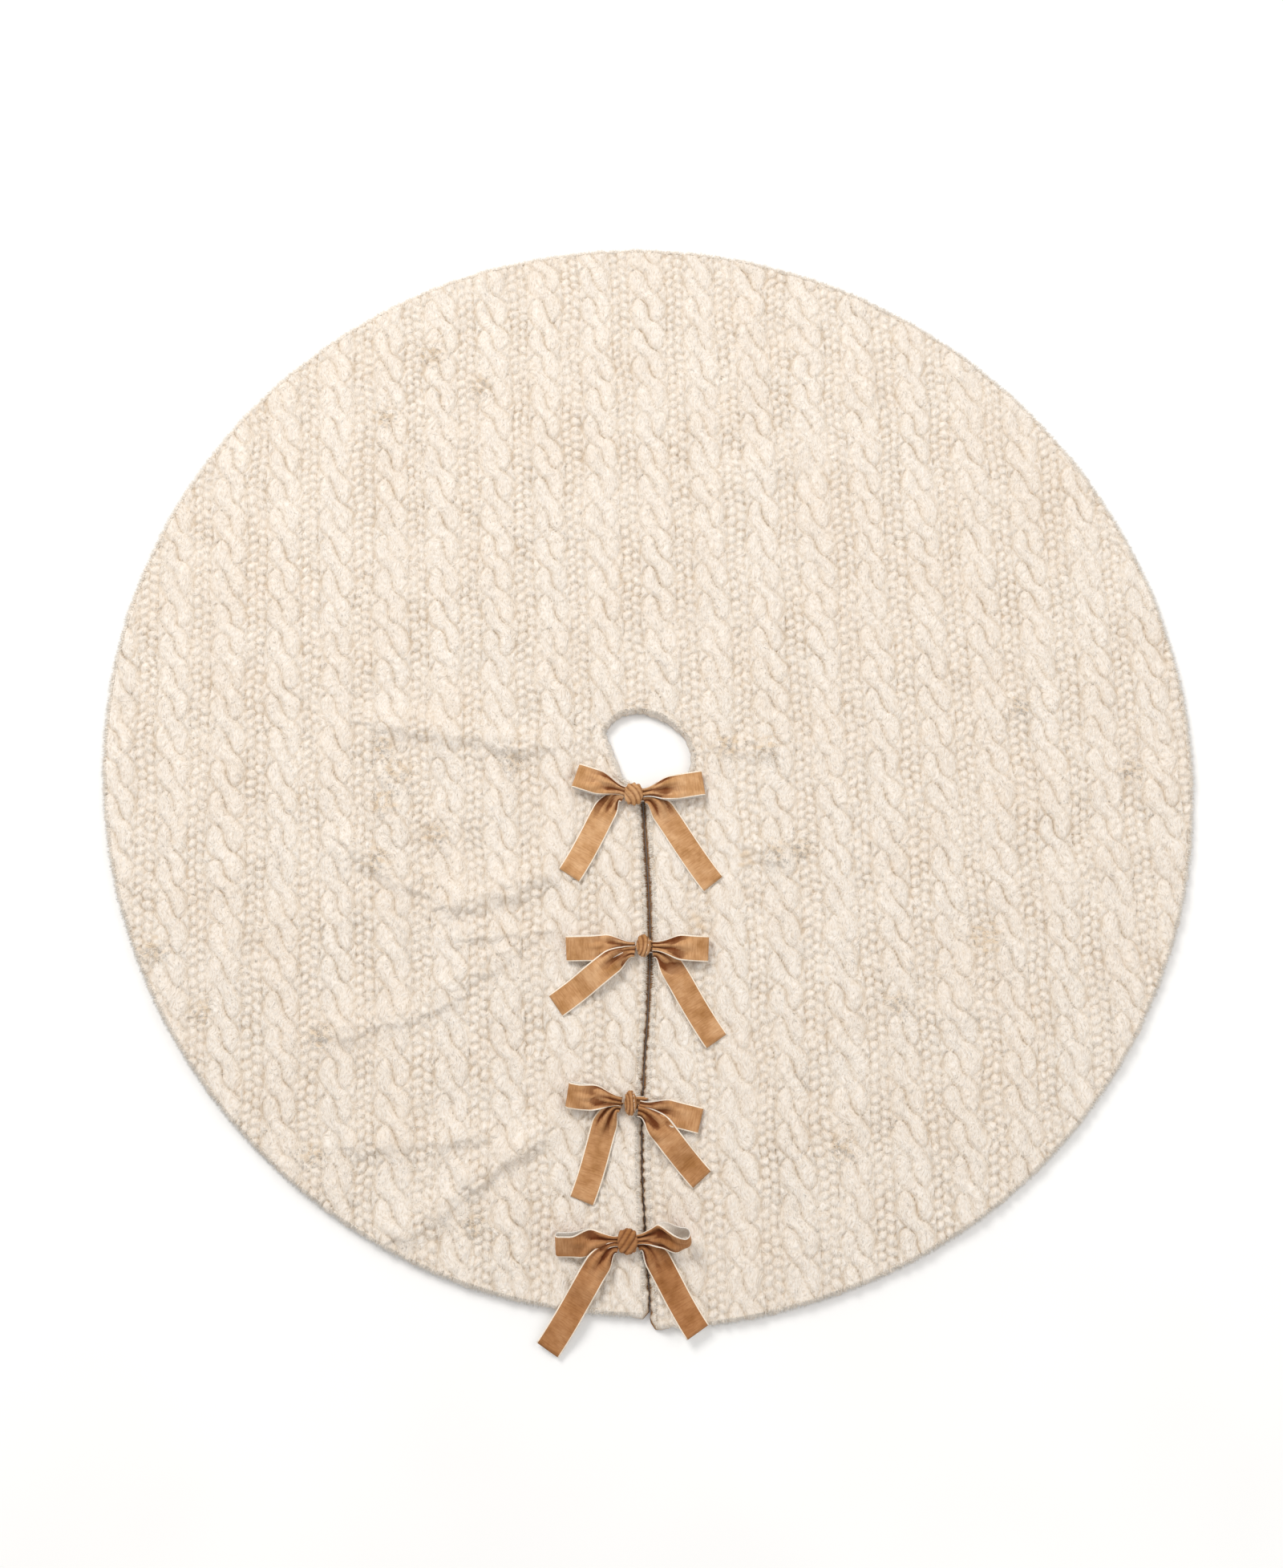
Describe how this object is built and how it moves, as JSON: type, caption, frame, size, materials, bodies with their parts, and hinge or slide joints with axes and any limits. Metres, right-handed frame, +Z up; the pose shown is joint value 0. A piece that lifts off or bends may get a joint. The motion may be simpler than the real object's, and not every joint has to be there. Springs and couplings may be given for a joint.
{
  "type": "tree skirt",
  "caption": "Round faux-fur tree skirt with a cable-knit relief, a centre hole and a front slit closed by tied velvet ribbon bows.",
  "frame": {"origin": "on the floor under the middle of the skirt's box; the centre hole is 18 mm further back", "axes": "+X to the right seen from the slit side, +Y from the slit towards the back, +Z up from the floor through the fur side"},
  "size_m": [1.2176, 1.2596, 0.0404],
  "materials": {
    "fur": "short cream faux fur pressed into a cable-knit relief",
    "lining": "plain ivory woven lining",
    "ribbon": "tan velvet ribbon with pale woven edges and a pale back"
  },
  "bodies": {
    "front_half": {"fur_front_left": "fur", "fur_front_right": "fur", "lining_front_left": "lining", "lining_front_right": "lining", "bow_1_knot": "ribbon", "bow_1_left_stitched_end": "ribbon", "bow_1_right_stitched_end": "ribbon", "bow_2_knot": "ribbon", "bow_2_left_stitched_end": "ribbon", "bow_2_right_stitched_end": "ribbon", "bow_3_knot": "ribbon", "bow_3_left_stitched_end": "ribbon", "bow_3_right_stitched_end": "ribbon", "bow_4_knot": "ribbon", "bow_4_left_stitched_end": "ribbon", "bow_4_right_stitched_end": "ribbon"},
    "back_half": {"fur_back": "fur", "lining_back": "lining"},
    "bow_1_left_tail": {"bow_1_left_tail": "ribbon"},
    "bow_1_left_loop": {"bow_1_left_loop": "ribbon"},
    "bow_1_right_tail": {"bow_1_right_tail": "ribbon"},
    "bow_1_right_loop": {"bow_1_right_loop": "ribbon"},
    "bow_2_left_loop": {"bow_2_left_loop": "ribbon"},
    "bow_2_left_tail": {"bow_2_left_tail": "ribbon"},
    "bow_2_right_tail": {"bow_2_right_tail": "ribbon"},
    "bow_2_right_loop": {"bow_2_right_loop": "ribbon"},
    "bow_3_left_tail": {"bow_3_left_tail": "ribbon"},
    "bow_3_left_loop": {"bow_3_left_loop": "ribbon"},
    "bow_3_right_loop": {"bow_3_right_loop": "ribbon"},
    "bow_3_right_tail": {"bow_3_right_tail": "ribbon"},
    "bow_4_left_loop": {"bow_4_left_loop": "ribbon"},
    "bow_4_left_tail": {"bow_4_left_tail": "ribbon"},
    "bow_4_right_tail": {"bow_4_right_tail": "ribbon"},
    "bow_4_right_loop": {"bow_4_right_loop": "ribbon"}
  },
  "joints": [
    {"name": "half_fold", "type": "hinge", "parent": "front_half", "child": "back_half", "pos_m": [0, 0.04247, 0.025], "axis": [1, 0, 0], "range_deg": [0, 175]},
    {"name": "bow_1_left_tail_lift", "type": "hinge", "parent": "front_half", "child": "bow_1_left_tail", "pos_m": [-0.02688, -0.02956, 0.0239], "axis": [-0.3173, -0.9483, 0], "range_deg": [-50, 0]},
    {"name": "bow_1_left_loop_lift", "type": "hinge", "parent": "bow_1_left_tail", "child": "bow_1_left_loop", "pos_m": [-0.02688, -0.02956, 0.0239], "axis": [-0.3173, -0.9483, 0], "range_deg": [-40, 0]},
    {"name": "bow_1_right_tail_lift", "type": "hinge", "parent": "front_half", "child": "bow_1_right_tail", "pos_m": [-0.0027, -0.03146, 0.0239], "axis": [-0.165, 0.9863, 0], "range_deg": [-50, 0]},
    {"name": "bow_1_right_loop_lift", "type": "hinge", "parent": "bow_1_right_tail", "child": "bow_1_right_loop", "pos_m": [-0.0027, -0.03146, 0.0239], "axis": [-0.165, 0.9863, 0], "range_deg": [-40, 0]},
    {"name": "bow_2_left_loop_lift", "type": "hinge", "parent": "front_half", "child": "bow_2_left_loop", "pos_m": [-0.01653, -0.20139, 0.0239], "axis": [0.0262, -0.9997, 0], "range_deg": [-50, 0]},
    {"name": "bow_2_left_tail_lift", "type": "hinge", "parent": "bow_2_left_loop", "child": "bow_2_left_tail", "pos_m": [-0.01653, -0.20139, 0.0239], "axis": [0.0262, -0.9997, 0], "range_deg": [-40, 0]},
    {"name": "bow_2_right_tail_lift", "type": "hinge", "parent": "front_half", "child": "bow_2_right_tail", "pos_m": [0.00846, -0.2016, 0.0239], "axis": [0.0436, 0.999, 0], "range_deg": [-50, 0]},
    {"name": "bow_2_right_loop_lift", "type": "hinge", "parent": "bow_2_right_tail", "child": "bow_2_right_loop", "pos_m": [0.00846, -0.2016, 0.0239], "axis": [0.0436, 0.999, 0], "range_deg": [-40, 0]},
    {"name": "bow_3_left_tail_lift", "type": "hinge", "parent": "front_half", "child": "bow_3_left_tail", "pos_m": [-0.03039, -0.36674, 0.0239], "axis": [-0.1478, -0.989, 0], "range_deg": [-50, 0]},
    {"name": "bow_3_left_loop_lift", "type": "hinge", "parent": "bow_3_left_tail", "child": "bow_3_left_loop", "pos_m": [-0.03039, -0.36674, 0.0239], "axis": [-0.1478, -0.989, 0], "range_deg": [-40, 0]},
    {"name": "bow_3_right_loop_lift", "type": "hinge", "parent": "front_half", "child": "bow_3_right_loop", "pos_m": [-0.0059, -0.37161, 0.0239], "axis": [0.2419, 0.9703, 0], "range_deg": [-50, 0]},
    {"name": "bow_3_right_tail_lift", "type": "hinge", "parent": "bow_3_right_loop", "child": "bow_3_right_tail", "pos_m": [-0.0059, -0.37161, 0.0239], "axis": [0.2419, 0.9703, 0], "range_deg": [-40, 0]},
    {"name": "bow_4_left_loop_lift", "type": "hinge", "parent": "front_half", "child": "bow_4_left_loop", "pos_m": [-0.03353, -0.51104, 0.0239], "axis": [0.0175, -0.9998, 0], "range_deg": [-50, 0]},
    {"name": "bow_4_left_tail_lift", "type": "hinge", "parent": "bow_4_left_loop", "child": "bow_4_left_tail", "pos_m": [-0.03353, -0.51104, 0.0239], "axis": [0.0175, -0.9998, 0], "range_deg": [-40, 0]},
    {"name": "bow_4_right_tail_lift", "type": "hinge", "parent": "front_half", "child": "bow_4_right_tail", "pos_m": [-0.0087, -0.50876, 0.0239], "axis": [-0.165, 0.9863, 0], "range_deg": [-50, 0]},
    {"name": "bow_4_right_loop_lift", "type": "hinge", "parent": "bow_4_right_tail", "child": "bow_4_right_loop", "pos_m": [-0.0087, -0.50876, 0.0239], "axis": [-0.165, 0.9863, 0], "range_deg": [-40, 0]}
  ]
}
